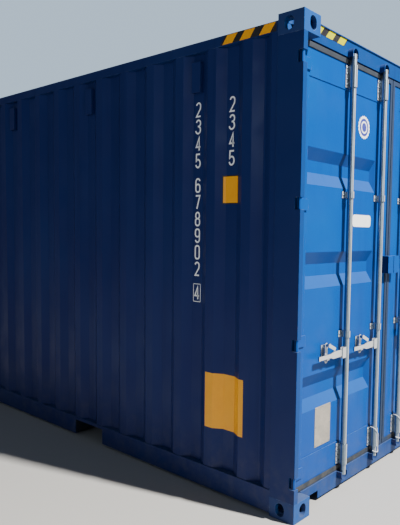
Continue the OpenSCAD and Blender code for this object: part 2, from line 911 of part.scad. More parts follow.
// Bearings and guides that hold the bars to the leaf, and the saddles of the handles
bearing_r = bar_d / 2 + 6;
bearing_plate = 5;
bearing_reach = 40;
bearing_stand = 32;
panel_face = door_from_end + panel_setback;
module bar_bearing(z, h, seat_y) {
    difference() {
        union() {
            translate([0, bar_from_end, z]) cylinder(r = bearing_r, h = h);
            translate([-bearing_stand / 2, bar_from_end, z])
                cube([bearing_stand, seat_y - bar_from_end, h]);
            translate([-bearing_reach, seat_y - bearing_plate, z])
                cube([2 * bearing_reach, bearing_plate, h]);
        }
        translate([0, bar_from_end, z - eps])
            cylinder(r = bar_d / 2 + bar_play, h = h + 2 * eps);
    }
}
saddle_w = 30;
saddle_play = 5;
saddle_plate = 5;
saddle_front = bar_from_end - handle_t / 2 - saddle_play;
saddle_back = bar_from_end + handle_t / 2 + saddle_play;
saddle_foot = handle_z - grip_w / 2 - 3 - saddle_plate;
catch_rise = 49;
catch_pin_z = handle_z + handle_w / 2 + catch_rise;
catch_pin_d = 12;
catch_boss_r = 10;
module saddle_upright() {
    translate([0, saddle_back + saddle_plate, 0])
        rotate([90, 0, 0])
            linear_extrude(saddle_plate)
                difference() {
                    union() {
                        translate([-saddle_w / 2, saddle_foot])
                            square([saddle_w, catch_pin_z - saddle_foot]);
                        translate([0, catch_pin_z]) circle(d = saddle_w);
                        translate([0, saddle_foot - 6]) circle(d = saddle_w + 2);
                    }
                    translate([0, saddle_foot - 7]) circle(d = saddle_w / 2);
                }
}
module handle_saddle() {
    saddle_upright();
    translate([-saddle_w / 2, saddle_front + saddle_plate, saddle_foot])
        cube([saddle_w, saddle_back - saddle_front - saddle_plate + eps, saddle_plate]);
    translate([-saddle_plate, saddle_back + saddle_plate - eps, saddle_foot])
        cube([2 * saddle_plate, panel_face - saddle_back - saddle_plate + eps, catch_pin_z - saddle_foot]);
    translate([-saddle_w * 0.7, panel_face - saddle_plate, saddle_foot])
        cube([saddle_w * 1.4, saddle_plate, catch_pin_z - saddle_foot]);
    translate([0, saddle_front - saddle_plate - eps, catch_pin_z])
        rotate([-90, 0, 0])
            cylinder(d = catch_pin_d, h = saddle_back - saddle_front + saddle_plate + 2 * eps);
    translate([0, saddle_front + 0.3, catch_pin_z])
        rotate([-90, 0, 0]) cylinder(r = catch_boss_r, h = saddle_back - saddle_front);
}
module door_brackets() {
    left_door_corner() {
        for (x = bar_x)
            translate([x, 0, 0]) {
                bar_bearing(bearing_foot_z, bearing_h, door_from_end);
                bar_bearing(bearing_top_z, bearing_h, door_from_end);
                bar_bearing(guide_low_z, guide_h, panel_face);
                bar_bearing(guide_high_z, guide_h, panel_face);
            }
        for (x = bar_x)
            translate([x - catch_x, 0, 0]) handle_saddle();
    }
}
module left_door_brackets() { color(zinc) door_brackets(); }
module right_door_brackets() { color(zinc) on_right() door_brackets(); }

// Bar: a tube with a cam at each end and the clevis for its handle
cam_toe = 20;
hub_h = 70;
hub_root = sqrt(pow(bar_d / 2, 2) - pow(handle_t / 2 + 0.5, 2)) - bar_wall;
pivot_x = 44;
clevis_plate = 6;
module cam(z) {
    toe_x = -cam_reach + cam_toe / 2;
    translate([0, 0, z])
        linear_extrude(cam_h) {
            translate([toe_x, 0]) circle(d = cam_toe);
            translate([toe_x, -cam_toe / 2]) square([-toe_x, cam_toe]);
        }
}
module lock_bar(x) {
    left_door_corner()
        translate([x, bar_from_end, 0]) {
            difference() {
                translate([0, 0, bar_foot_z]) cylinder(d = bar_d, h = bar_top_z - bar_foot_z);
                translate([0, 0, bar_foot_z + cam_h])
                    cylinder(d = bar_d - 2 * bar_wall, h = bar_top_z - bar_foot_z - 2 * cam_h);
            }
            cam(bar_foot_z);
            cam(bar_top_z - cam_h);
            difference() {
                for (side = [-1, 1])
                    translate([
                        -pivot_x - 14,
                        side * (handle_t / 2 + 0.5 + clevis_plate / 2) - clevis_plate / 2,
                        handle_z - hub_h / 2
                    ])
                        cube([pivot_x + 14 - hub_root, clevis_plate, hub_h]);
                translate([-pivot_x, -bar_d, handle_z])
                    rotate([-90, 0, 0]) cylinder(d = 12, h = 2 * bar_d);
            }
        }
}
module left_outer_bar() { color(zinc) lock_bar(bar_x[0]); }
module left_inner_bar() { color(zinc) lock_bar(bar_x[1]); }
module right_inner_bar() { color(zinc) on_right() lock_bar(bar_x[1]); }
module right_outer_bar() { color(zinc) on_right() lock_bar(bar_x[0]); }

// Handle: a flat bar on its pin, narrower at the grip
root_w = 34;
neck_l = 24;
grip_x = catch_x - 36;
module handle(x) {
    left_door_corner()
        translate([x, bar_from_end, handle_z])
            rotate([90, 0, 0]) {
                linear_extrude(handle_t, center = true)
                    union() {
                        translate([-pivot_x, 0]) circle(d = root_w);
                        polygon([
                            [-pivot_x, -root_w / 2], [-pivot_x, root_w / 2],
                            [-pivot_x - root_w, handle_w / 2], [-grip_x + neck_l, handle_w / 2],
                            [-grip_x, grip_w / 2], [-handle_l, grip_w / 2],
                            [-handle_l, -grip_w / 2], [-grip_x, -grip_w / 2],
                            [-grip_x + neck_l, -handle_w / 2], [-pivot_x - root_w, -handle_w / 2]
                        ]);
                    }
                translate([-pivot_x, 0, 0]) cylinder(d = 11.9, h = handle_t + 14, center = true);
            }
}
module left_outer_handle() { color(zinc) handle(bar_x[0]); }
module left_inner_handle() { color(zinc) handle(bar_x[1]); }
module right_inner_handle() { color(zinc) on_right() handle(bar_x[1]); }
module right_outer_handle() { color(zinc) on_right() handle(bar_x[0]); }

// Catch: a flat plate on the saddle's pin, turned aside at rest, that drops before the handle
catch_t = 5;
catch_w = 22;
catch_rest = 25;
catch_l = catch_pin_z - handle_z + grip_w / 2 - 7;
module handle_catch(x) {
    left_door_corner()
        translate([x - catch_x, saddle_front, catch_pin_z])
            rotate([90, 0, 0])
                linear_extrude(catch_t)
                    rotate(-catch_rest)
                        difference() {
                            union() {
                                circle(d = catch_w + 4);
                                translate([0, -catch_w / 2]) square([catch_l, catch_w]);
                            }
                            circle(d = catch_pin_d + 0.3);
                        }
}
module left_outer_catch() { color(zinc) handle_catch(bar_x[0]); }
module left_inner_catch() { color(zinc) handle_catch(bar_x[1]); }
module right_inner_catch() { color(zinc) on_right() handle_catch(bar_x[1]); }
module right_outer_catch() { color(zinc) on_right() handle_catch(bar_x[0]); }

// Lock box: a half shell on each leaf, open below and towards the meeting line
module lock_box_half() {
    clear_y = door_from_end - gasket_proud - 2;
    left_door_corner()
        translate([half_w - box_reach, 0, box_z - box_h / 2]) {
            translate([0, box_from_end, 0])
                cube([box_reach - meeting_gap / 2, box_plate, box_h]);
            translate([0, box_from_end, 0])
                cube([box_plate, door_from_end - box_from_end, box_h]);
            translate([0, box_from_end, box_h - box_plate])
                cube([box_reach - meeting_gap / 2, clear_y - box_from_end, box_plate]);
            translate([0, clear_y - eps, box_h - box_plate])
                cube([leaf_meet - half_w + box_reach - 4, door_from_end - clear_y + eps, box_plate]);
        }
}
module left_lock_box() { color(blue) lock_box_half(); }
module right_lock_box() { color(blue) on_right() lock_box_half(); }

casting_door_left_bottom();
casting_door_right_bottom();
casting_front_left_bottom();
casting_front_right_bottom();
casting_door_left_top();
casting_door_right_top();
casting_front_left_top();
casting_front_right_top();
door_post_left();
door_post_right();
front_post_left();
front_post_right();
top_rail_left();
top_rail_right();
bottom_rail_left();
bottom_rail_right();
door_header();
door_sill();
front_top_rail();
front_bottom_rail();
left_wall();
right_wall();
front_wall();
roof();
floor_boards();
cross_members();
fork_pockets();
ventilators();
cam_keepers();
hinge_pins();
left_door_frame();
left_door_panel();
left_door_gasket();
left_door_hinges();
left_door_brackets();
right_door_frame();
right_door_panel();
right_door_gasket();
right_door_hinges();
right_door_brackets();
left_lock_box();
right_lock_box();
left_outer_bar();
left_inner_bar();
right_inner_bar();
right_outer_bar();
left_outer_handle();
left_inner_handle();
right_inner_handle();
right_outer_handle();
left_outer_catch();
left_inner_catch();
right_inner_catch();
right_outer_catch();
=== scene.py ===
import json
import math

import bpy
from mathutils import Matrix, Vector


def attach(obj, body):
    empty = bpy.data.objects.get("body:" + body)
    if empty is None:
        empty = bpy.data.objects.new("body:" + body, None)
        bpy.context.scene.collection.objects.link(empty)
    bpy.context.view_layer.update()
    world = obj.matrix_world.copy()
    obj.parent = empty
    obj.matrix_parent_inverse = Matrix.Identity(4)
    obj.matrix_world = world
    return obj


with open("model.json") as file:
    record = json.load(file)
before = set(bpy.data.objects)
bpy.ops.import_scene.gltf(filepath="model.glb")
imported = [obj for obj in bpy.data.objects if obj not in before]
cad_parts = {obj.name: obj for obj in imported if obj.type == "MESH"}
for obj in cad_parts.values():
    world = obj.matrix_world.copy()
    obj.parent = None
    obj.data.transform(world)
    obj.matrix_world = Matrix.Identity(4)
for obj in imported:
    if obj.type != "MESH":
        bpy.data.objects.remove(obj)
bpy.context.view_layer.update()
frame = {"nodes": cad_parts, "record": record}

# Sizes of the part that the pieces are set to, in metres
# Half the width and half the length over the castings
HW = 1.219
HL = 3.029
# A side wall: its ridges' pitch, half width and number each way from the middle one,
# the slopes between ridge and groove, the ridges' distance from the side plane,
# the grooves' depth, and the flat strip at the door end
RIDGE_PITCH = 0.292
RIDGE_HALF = 0.036
RIDGES_EACH_WAY = 9
SLOPE = 0.064
WALL_OUT = 0.005
WALL_DEPTH = 0.036
END_FLAT = 0.224
# A top rail's outer face from the side plane
RAIL_IN = 0.003
# The header, the leaf frames, the panels and the bars' axes from the end plane
HEADER_Y = 0.064
LEAF_Y = 0.076
PANEL_Y = 0.080
BAR_Y = 0.040
# The two bars of a leaf, from the side plane
BARS = (0.608, 1.033)
# The feet of a bar's two bearings and of its two guides, and the thickness of both
BEARING_FEET = (0.169, 2.595)
GUIDE_FEET = (1.010, 1.904)
BRACKET_T = 0.005
# How far a film's face stands off what it sticks to, and how thick a film is
STICKER = 0.0007
FILM = 0.0004

# Camera, fitted to the photograph: degrees, metres, and the focal length in pixels
CAMERA_YAW = 50.47
CAMERA_PITCH = -3.93
CAMERA_ROLL = 0.94
CAMERA_PLACE = (-3.820, -4.847, 1.677)
CAMERA_SHIFT = (-0.1017, 0.0171)
FOCAL_PIXELS = 569.8
PHOTO_HEIGHT = 525
SENSOR = 36


def make_camera():
    yaw, pitch, roll = (math.radians(a) for a in (CAMERA_YAW, CAMERA_PITCH, CAMERA_ROLL))
    forward = Vector((
        math.sin(yaw) * math.cos(pitch),
        math.cos(yaw) * math.cos(pitch),
        math.sin(pitch),
    ))
    right = Vector((math.cos(yaw), -math.sin(yaw), 0))
    up = right.cross(forward)
    turned_right = math.cos(roll) * right + math.sin(roll) * up
    turned_up = -math.sin(roll) * right + math.cos(roll) * up
    data = bpy.data.cameras.new("camera")
    data.sensor_width = SENSOR
    data.lens = FOCAL_PIXELS / PHOTO_HEIGHT * SENSOR
    data.shift_x, data.shift_y = CAMERA_SHIFT
    cam = bpy.data.objects.new("camera", data)
    bpy.context.scene.collection.objects.link(cam)
    turn = Matrix((turned_right, turned_up, -forward)).transposed()
    cam.matrix_world = Matrix.Translation(CAMERA_PLACE) @ turn.to_4x4()
    bpy.context.scene.camera = cam


class Shader:
    """A material and small helpers for its node tree."""

    BEVEL_SAMPLES = 6
    MIX_AMOUNT, MIX_A, MIX_B, MIX_RESULT = 0, 6, 7, 2

    def __init__(self, name):
        self.mat = bpy.data.materials.new(name)
        self.mat.use_nodes = True
        self.tree = self.mat.node_tree
        self.bsdf = self.tree.nodes["Principled BSDF"]
        self.place = self.node("ShaderNodeTexCoord").outputs["Object"]

    def node(self, kind, **values):
        made = self.tree.nodes.new(kind)
        for key, value in values.items():
            setattr(made, key, value)
        return made

    def link(self, a, b):
        self.tree.links.new(a, b)

    def set(self, **values):
        for key, value in values.items():
            self.bsdf.inputs[key.replace("_", " ")].default_value = value

    def scaled(self, x, y, z):
        mapping = self.node("ShaderNodeMapping")
        self.link(self.place, mapping.inputs["Vector"])
        mapping.inputs["Scale"].default_value = (x, y, z)
        return mapping.outputs["Vector"]

    def noise(self, scale, detail, rough=0.55, where=None, distort=0.0):
        made = self.node("ShaderNodeTexNoise")
        self.link(where or self.place, made.inputs["Vector"])
        made.inputs["Scale"].default_value = scale
        made.inputs["Detail"].default_value = detail
        made.inputs["Roughness"].default_value = rough
        made.inputs["Distortion"].default_value = distort
        return made.outputs["Fac"]

    def fit(self, value, low, high, out_low=0.0, out_high=1.0):
        """The value taken smoothly from the range low..high to out_low..out_high."""
        made = self.node("ShaderNodeMapRange")
        made.interpolation_type = "SMOOTHSTEP"
        self.link(value, made.inputs["Value"])
        made.inputs["From Min"].default_value = low
        made.inputs["From Max"].default_value = high
        made.inputs["To Min"].default_value = out_low
        made.inputs["To Max"].default_value = out_high
        return made.outputs["Result"]

    def math(self, kind, a, b=None):
        made = self.node("ShaderNodeMath", operation=kind)
        for socket, value in zip(made.inputs, (a, b)):
            if value is None:
                continue
            if isinstance(value, (int, float)):
                socket.default_value = value
            else:
                self.link(value, socket)
        return made.outputs[0]

    def blend(self, amount, a, b, kind="MIX"):
        made = self.node("ShaderNodeMix", data_type="RGBA", blend_type=kind)
        for index, value in ((self.MIX_AMOUNT, amount), (self.MIX_A, a), (self.MIX_B, b)):
            if isinstance(value, (int, float)):
                made.inputs[index].default_value = value
            elif isinstance(value, tuple):
                made.inputs[index].default_value = (*value, 1)
            else:
                self.link(value, made.inputs[index])
        return made.outputs[self.MIX_RESULT]

    def along(self, axis):
        """The place along an axis of the part, in metres."""
        split = self.node("ShaderNodeSeparateXYZ")
        self.link(self.place, split.inputs[0])
        return split.outputs[axis]

    def facing(self, axis):
        """How much a face looks along an axis of its body, from -1 to 1."""
        split = self.node("ShaderNodeSeparateXYZ")
        self.link(self.node("ShaderNodeTexCoord").outputs["Normal"], split.inputs[0])
        return split.outputs[axis]

    def side_face(self):
        """1 on faces that look sideways, 0 elsewhere."""
        return self.fit(self.math("ABSOLUTE", self.facing("X")), 0.80, 0.95)

    def front_face(self):
        """1 on flat faces that look straight out of the door end."""
        return self.fit(self.facing("Y"), -0.95, -0.99)

    def end_face(self):
        """1 on faces that look out of the door end and lie near it, 0 elsewhere."""
        looks_out = self.fit(self.facing("Y"), -0.55, -0.75)
        near_end = self.fit(self.along("Y"), -HL + 0.20, -HL + 0.15)
        return self.math("MULTIPLY", looks_out, near_end)

    def facing_up(self):
        """How much a face looks up in the scene, from -1 to 1."""
        geometry = self.node("ShaderNodeNewGeometry")
        split = self.node("ShaderNodeSeparateXYZ")
        self.link(geometry.outputs["Normal"], split.inputs[0])
        return split.outputs["Z"]

    def rounded(self, radius):
        made = self.node("ShaderNodeBevel", samples=self.BEVEL_SAMPLES)
        made.inputs["Radius"].default_value = radius
        return made.outputs["Normal"]

    def edges(self, radius):
        """1 within the radius of an edge, 0 on flat faces."""
        geometry = self.node("ShaderNodeNewGeometry")
        dot = self.node("ShaderNodeVectorMath", operation="DOT_PRODUCT")
        self.link(self.rounded(radius), dot.inputs[0])
        self.link(geometry.outputs["True Normal"], dot.inputs[1])
        return self.fit(dot.outputs["Value"], 0.94, 0.74)

    def bump(self, value, strength, distance, under=None):
        made = self.node("ShaderNodeBump")
        made.inputs["Strength"].default_value = strength
        made.inputs["Distance"].default_value = distance
        self.link(value, made.inputs["Height"])
        if under is not None:
            self.link(under, made.inputs["Normal"])
        return made.outputs["Normal"]

    def finish(self, colour, rough, normal, **values):
        self.link(colour, self.bsdf.inputs["Base Color"])
        self.link(rough, self.bsdf.inputs["Roughness"])
        self.link(normal, self.bsdf.inputs["Normal"])
        self.set(**values)
        return self.mat


# Dirt, dust and rust, shared by the materials of the box and the leaves
DUST_LOW = (0.15, 0.14, 0.12)
DUST_LYING = (0.12, 0.13, 0.15)
RUST_EDGE = (0.16, 0.055, 0.02)
RUST_SPECK = (0.14, 0.06, 0.03)
# Painted light and shade for the slopes of the pressed grooves: what sky and sun would add to
# faces that lean up, and what faces that lean down would lose
SLOPE_PAINTED_LIGHT = (0.060, 0.165, 0.420)
SLOPE_PAINTED_SHADE = (0.0002, 0.016, 0.085)
# Grain of the painted steel: smooth sheet, and the coarser skin of a casting
SHEET_GRAIN = 420
CAST_GRAIN = 130


def paint(name, colour, faded, dark, scuff=(0.22, 0.31, 0.42), rust=0.5, wear=0.6, cast=0.0,
          gloss=0.40, end=None, side=None):
    """Paint on steel. end is a lighter tone on faces that look out of the door end, painted
    sunlight, side a darker tone on faces that look sideways, painted shade; rust and wear say how
    much of the edges is rusty or scuffed."""
    s = Shader(name)
    tone = s.blend(s.fit(s.noise(0.9, 5), 0.38, 0.66), colour, faded)
    # Painted light and shade: a lighter tone on faces that look out of the door end, where the sun
    # falls, and a darker tone on faces that look sideways, in shade
    if end:
        tone = s.blend(s.end_face(), tone, end)
    if side:
        tone = s.blend(s.side_face(), tone, side)
    # Rain streaks and a mottled surface
    streaks = s.fit(s.noise(1.0, 6, 0.6, s.scaled(16, 16, 0.55)), 0.52, 0.72, 0, 0.35)
    tone = s.blend(streaks, tone, dark)
    mottled = s.fit(s.noise(7, 8, 0.62), 0.50, 0.75, 0, 0.25)
    tone = s.blend(mottled, tone, faded)
    # Dust on the lowest half metre, and dust that lies on level faces
    low = s.fit(s.along("Z"), 0.55, 0.02)
    dust = s.math("MULTIPLY", low, s.fit(s.noise(14, 8, 0.7), 0.40, 0.72, 0.03, 0.22))
    tone = s.blend(dust, tone, DUST_LOW)
    level = s.fit(s.facing_up(), 0.75, 0.98)
    lying = s.math("MULTIPLY", level, s.fit(s.noise(5, 7), 0.35, 0.7, 0.10, 0.30))
    tone = s.blend(lying, tone, DUST_LYING)
    # Painted light and shade on the slopes of the pressed grooves: lighter where they lean up,
    # darker where they lean down
    tone = s.blend(s.fit(s.facing_up(), 0.08, 0.25, 0, 0.22), tone, SLOPE_PAINTED_LIGHT)
    tone = s.blend(s.fit(s.facing_up(), -0.08, -0.25, 0, 0.45), tone, SLOPE_PAINTED_SHADE)
    # Scuffed and rusty edges, and specks of rust
    scuffs = s.math("MULTIPLY", s.edges(0.004), s.fit(s.noise(22, 7, 0.7), 0.46, 0.62, 0, wear))
    tone = s.blend(scuffs, tone, scuff)
    rusty = s.math("MULTIPLY", s.edges(0.007), s.fit(s.noise(13, 9, 0.75), 0.60, 0.66, 0, rust))
    tone = s.blend(rusty, tone, RUST_EDGE)
    specks = s.fit(s.noise(41, 9, 0.8), 0.705, 0.745, 0, rust)
    tone = s.blend(specks, tone, RUST_SPECK)
    rough = s.fit(s.noise(5, 6), 0.3, 0.7, gloss - 0.08, gloss + 0.14)
    rough = s.math("ADD", rough, s.math("MULTIPLY", dust, 0.5))
    normal = s.bump(s.noise(2.3, 3), 0.35, 0.012, s.rounded(0.003))
    grain = s.noise(CAST_GRAIN if cast else SHEET_GRAIN, 3)
    normal = s.bump(grain, 0.10 + cast, 0.0006 + 0.001 * cast, normal)
    return s.finish(tone, rough, normal,
                    Specular_IOR_Level=0.11, Coat_Weight=0.02, Coat_Roughness=0.2)


def zinc(name):
    """Galvanized steel, brushed round the upright bars. Flat faces that look straight out of the
    door end are matt, lighter and less metallic, a painted highlight for the sun on them.
    """
    s = Shader(name)
    # The zinc's tone is darker than bare zinc, partly painted shade for the dark surroundings that
    # the bars reflect
    mottled = s.fit(s.noise(6, 7, 0.65), 0.40, 0.72)
    tone = s.blend(mottled, (0.20, 0.26, 0.33), (0.155, 0.205, 0.265))
    streaks = s.fit(s.noise(1.0, 6, 0.6, s.scaled(60, 60, 2.2)), 0.58, 0.78, 0, 0.25)
    tone = s.blend(streaks, tone, (0.34, 0.34, 0.34))
    rusty = s.math("MULTIPLY", s.edges(0.004), s.fit(s.noise(30, 8, 0.75), 0.58, 0.66, 0, 0.6))
    tone = s.blend(rusty, tone, (0.20, 0.10, 0.045))
    rough = s.fit(s.noise(9, 5), 0.3, 0.7, 0.35, 0.42)
    normal = s.bump(s.noise(300, 4), 0.05, 0.0003, s.rounded(0.001))
    # Painted highlight: faces that look straight out of the door end, and a strip of each bar, get
    # a light matt tone where the sun falls
    front_painted_highlight = s.front_face()
    tone = s.blend(front_painted_highlight, tone, (0.60, 0.62, 0.64))
    metallic = s.math("SUBTRACT", 1.0, s.math("MULTIPLY", front_painted_highlight, 0.7))
    s.link(metallic, s.bsdf.inputs["Metallic"])
    # The Tangent socket takes no value of its own
    upright = s.node("ShaderNodeCombineXYZ")
    upright.inputs["Z"].default_value = 1.0
    s.link(upright.outputs[0], s.bsdf.inputs["Tangent"])
    return s.finish(tone, rough, normal, Anisotropic=0.85)


def rubber(name):
    """Gasket rubber, with paint on it beside the meeting line of the leaves."""
    s = Shader(name)
    tone = s.blend(s.fit(s.noise(5, 6), 0.35, 0.7), (0.021, 0.028, 0.041), (0.033, 0.042, 0.058))
    dark = s.fit(s.noise(48, 7, 0.7), 0.5, 0.7, 0, 0.5)
    tone = s.blend(dark, tone, (0.020, 0.021, 0.025))
    low = s.fit(s.along("Z"), 0.5, 0.05, 0, 0.45)
    dust = s.math("MULTIPLY", low, s.fit(s.noise(14, 6), 0.4, 0.65))
    tone = s.blend(dust, tone, (0.10, 0.093, 0.08))
    painted = s.fit(s.math("ABSOLUTE", s.along("X")), 0.12, 0.08, 0, 0.75)
    tone = s.blend(painted, tone, (0.012, 0.032, 0.085))
    rough = s.fit(s.noise(30, 4), 0.3, 0.7, 0.62, 0.85)
    normal = s.bump(s.noise(180, 4), 0.35, 0.0008, s.rounded(0.003))
    return s.finish(tone, rough, normal, Specular_IOR_Level=0.3)


def plywood(name):
    """Floor boards of plywood, 1.16 by 1.20 m, with their grain along the container."""
    s = Shader(name)
    grain = s.noise(1.0, 8, 0.65, s.scaled(42, 2.2, 20), 0.6)
    tone = s.blend(s.fit(grain, 0.3, 0.72), (0.19, 0.095, 0.042), (0.36, 0.215, 0.11))
    boards = s.node("ShaderNodeTexBrick")
    s.link(s.place, boards.inputs["Vector"])
    boards.offset = 0.5
    for socket, value in (
        ("Scale", 1.0), ("Brick Width", 1.16), ("Row Height", 1.20), ("Mortar Size", 0.004),
        ("Color1", (0.85, 0.85, 0.85, 1)), ("Color2", (1.1, 1.06, 1.0, 1)),
        ("Mortar", (0.08, 0.06, 0.05, 1)),
    ):
        boards.inputs[socket].default_value = value
    tone = s.blend(1.0, tone, boards.outputs["Color"], "MULTIPLY")
    dirt = s.fit(s.noise(4, 8, 0.7), 0.48, 0.75, 0, 0.6)
    tone = s.blend(dirt, tone, (0.10, 0.085, 0.07))
    rough = s.fit(grain, 0.3, 0.7, 0.5, 0.75)
    normal = s.bump(grain, 0.3, 0.0012, s.rounded(0.003))
    return s.finish(tone, rough, normal)


def sticker(name, colour, aged, gloss=0.35, shine=0.4):
    """A coloured film with faded patches and scratches. gloss is its roughness."""
    s = Shader(name)
    tone = s.blend(s.fit(s.noise(11, 7, 0.65), 0.42, 0.72, 0, 0.7), colour, aged)
    scratch = s.fit(s.noise(1.0, 8, 0.7, s.scaled(140, 60, 9)), 0.66, 0.74, 0, 0.45)
    tone = s.blend(scratch, tone, tuple(0.45 * c for c in aged))
    rough = s.fit(s.noise(20, 4), 0.3, 0.7, gloss - 0.05, gloss + 0.15)
    normal = s.bump(s.noise(35, 4), 0.12, 0.0008)
    return s.finish(tone, rough, normal, Specular_IOR_Level=shine)


def data_plate(name):
    """The bare metal plate on the left leaf."""
    s = Shader(name)
    mottled = s.fit(s.noise(16, 8, 0.7), 0.35, 0.7)
    tone = s.blend(mottled, (0.36, 0.335, 0.295), (0.49, 0.435, 0.37))
    streaks = s.fit(s.noise(1.0, 7, 0.6, s.scaled(70, 70, 8)), 0.5, 0.75, 0, 0.45)
    tone = s.blend(streaks, tone, (0.36, 0.35, 0.33))
    rough = s.fit(s.noise(40, 4), 0.3, 0.7, 0.34, 0.58)
    normal = s.bump(s.noise(90, 5), 0.2, 0.0006, s.rounded(0.002))
    return s.finish(tone, rough, normal, Metallic=0.35)


# Colour of the scuffs on the bright blue and on the dark blue paint
BLUE = {"scuff": (0.26, 0.40, 0.56)}
NAVY = {"scuff": (0.10, 0.20, 0.36)}
# One material for each slot of the record
materials = {
    "door_paint": paint(
        "door_paint", (0.0004, 0.059, 0.300), (0.0008, 0.070, 0.322), (0.0003, 0.043, 0.230),
        # side: painted shade, a darker tone on the sideways faces of hinges, lock boxes and leaf
        # edges
        side=(0.0012, 0.013, 0.068), **BLUE,
    ),
    "frame_paint": paint(
        "frame_paint", (0.0110, 0.0220, 0.112), (0.0135, 0.0290, 0.128),
        # end: painted sunlight, a lighter tone on the frame's faces that look out of the door end
        (0.0075, 0.0160, 0.086), wear=0.7, end=(0.0055, 0.047, 0.200), **NAVY,
    ),
    "wall_paint": paint(
        "wall_paint", (0.0115, 0.0215, 0.112), (0.0140, 0.0275, 0.126), (0.0080, 0.0155, 0.083),
        wear=0.35, rust=0.3, gloss=0.36, **NAVY,
    ),
    "casting_paint": paint(
        "casting_paint", (0.020, 0.040, 0.150), (0.025, 0.052, 0.175), (0.012, 0.028, 0.110),
        # end: painted sunlight, a lighter tone on the castings' faces that look out of the door
        # end
        wear=0.85, rust=0.7, cast=0.5, gloss=0.48, end=(0.010, 0.076, 0.290), **BLUE,
    ),
    "base_paint": paint(
        "base_paint", (0.012, 0.018, 0.034), (0.024, 0.030, 0.044), (0.008, 0.010, 0.016),
        rust=0.8, gloss=0.6,
    ),
    "gear_zinc": zinc("gear_zinc"),
    "gasket_rubber": rubber("gasket_rubber"),
    "floor_wood": plywood("floor_wood"),
}
# Films, the data plate and the tie wires
white_film = sticker("white_film", (0.93, 0.95, 0.96), (0.80, 0.82, 0.84))
digit_white = sticker("digit_white", (0.96, 0.98, 1.0), (0.80, 0.84, 0.90), 0.5)
orange_film = sticker("orange_film", (1.0, 0.43, 0.006), (0.95, 0.38, 0.006))
lemon_film = sticker("lemon_film", (0.50, 0.49, 0.0), (0.47, 0.46, 0.0), 0.6, 0.0)
black_film = sticker("black_film", (0.020, 0.020, 0.024), (0.040, 0.038, 0.040))
roundel_blue = sticker("roundel_blue", (0.045, 0.055, 0.30), (0.07, 0.08, 0.34))
plate_metal = data_plate("plate_metal")
wire_metal = sticker("wire_metal", (0.78, 0.79, 0.80), (0.62, 0.63, 0.64), 0.45)


def dress_nodes():
    for part in frame["record"]["subparts"]:
        mesh = frame["nodes"][part["node"]].data
        mesh.materials.clear()
        mesh.materials.append(materials[part["material_slot"]])


# Places on the part: a side wall's y is counted from the door end, the door end's x and y from
# the left side plane and from the end plane
def wall_depth(y):
    """How far the outer face of a side wall lies inside the side plane."""
    if y < END_FLAT:
        return WALL_OUT
    if y < END_FLAT + SLOPE:
        return WALL_OUT + WALL_DEPTH * (y - END_FLAT) / SLOPE
    index = round((y - HL) / RIDGE_PITCH)
    index = max(-RIDGES_EACH_WAY, min(RIDGES_EACH_WAY, index))
    off = abs(y - HL - index * RIDGE_PITCH)
    if off <= RIDGE_HALF:
        return WALL_OUT
    if off < RIDGE_HALF + SLOPE:
        return WALL_OUT + WALL_DEPTH * (off - RIDGE_HALF) / SLOPE
    return WALL_OUT + WALL_DEPTH


def wall_breaks(start, end):
    """Where the wall's section bends between start and end, with both."""
    found = {start, end, END_FLAT, END_FLAT + SLOPE}
    for i in range(-RIDGES_EACH_WAY, RIDGES_EACH_WAY + 1):
        middle = HL + i * RIDGE_PITCH
        for off in (RIDGE_HALF, RIDGE_HALF + SLOPE):
            found.update((middle - off, middle + off))
    return sorted(y for y in found if start <= y <= end)


def on_left(y, z, out=STICKER):
    return Vector((-HW + wall_depth(y) - out, -HL + y, z))


def on_panel(x, z, out):
    return Vector((-HW + x, -HL + PANEL_Y - out, z))


def around_panel_point(x, z):
    """A function that gives the place (u, v, out) as seen from a point of the left panel."""
    return lambda u, v, out: on_panel(x + u, z + v, out)


def add_mesh(name, verts, faces, body, mat, smooth=False):
    mesh = bpy.data.meshes.new(name)
    mesh.from_pydata([tuple(v) for v in verts], [], faces)
    mesh.validate()
    made = bpy.data.objects.new(name, mesh)
    bpy.context.scene.collection.objects.link(made)
    mesh.materials.append(mat)
    if smooth:
        mesh.polygons.foreach_set("use_smooth", [True] * len(mesh.polygons))
    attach(made, body)
    return made


def add_film(name, verts, faces, inward, mat):
    """A film on the box, as a thin closed solid: the faces, their backs, and a wall along each
    open edge."""
    n = len(verts)
    depth = Vector(inward) * FILM
    front = []
    for face in faces:
        a, b, c = (verts[i] for i in face[:3])
        front.append(face if (b - a).cross(c - b).dot(depth) < 0 else face[::-1])
    sides = {(face[i - 1], face[i]) for face in front for i in range(len(face))}
    walls = [(b, a, a + n, b + n) for a, b in sorted(sides) if (b, a) not in sides]
    backs = [tuple(i + n for i in face[::-1]) for face in front]
    verts = verts + [v + depth for v in verts]
    return add_mesh(name, verts, front + backs + walls, "box", mat)


def rounded_rect(w, h, r, steps=5):
    """The outline of a rectangle round the origin, counterclockwise."""
    x, y = w / 2 - r, h / 2 - r
    points = []
    for cx, cy, turn in ((x, y, 0), (-w / 2 + r, y, 90), (-w / 2 + r, -h / 2 + r, 180),
                         (x, -h / 2 + r, 270)):
        for i in range(steps + 1):
            a = math.radians(turn + 90 * i / steps)
            points.append((cx + r * math.cos(a), cy + r * math.sin(a)))
    return points


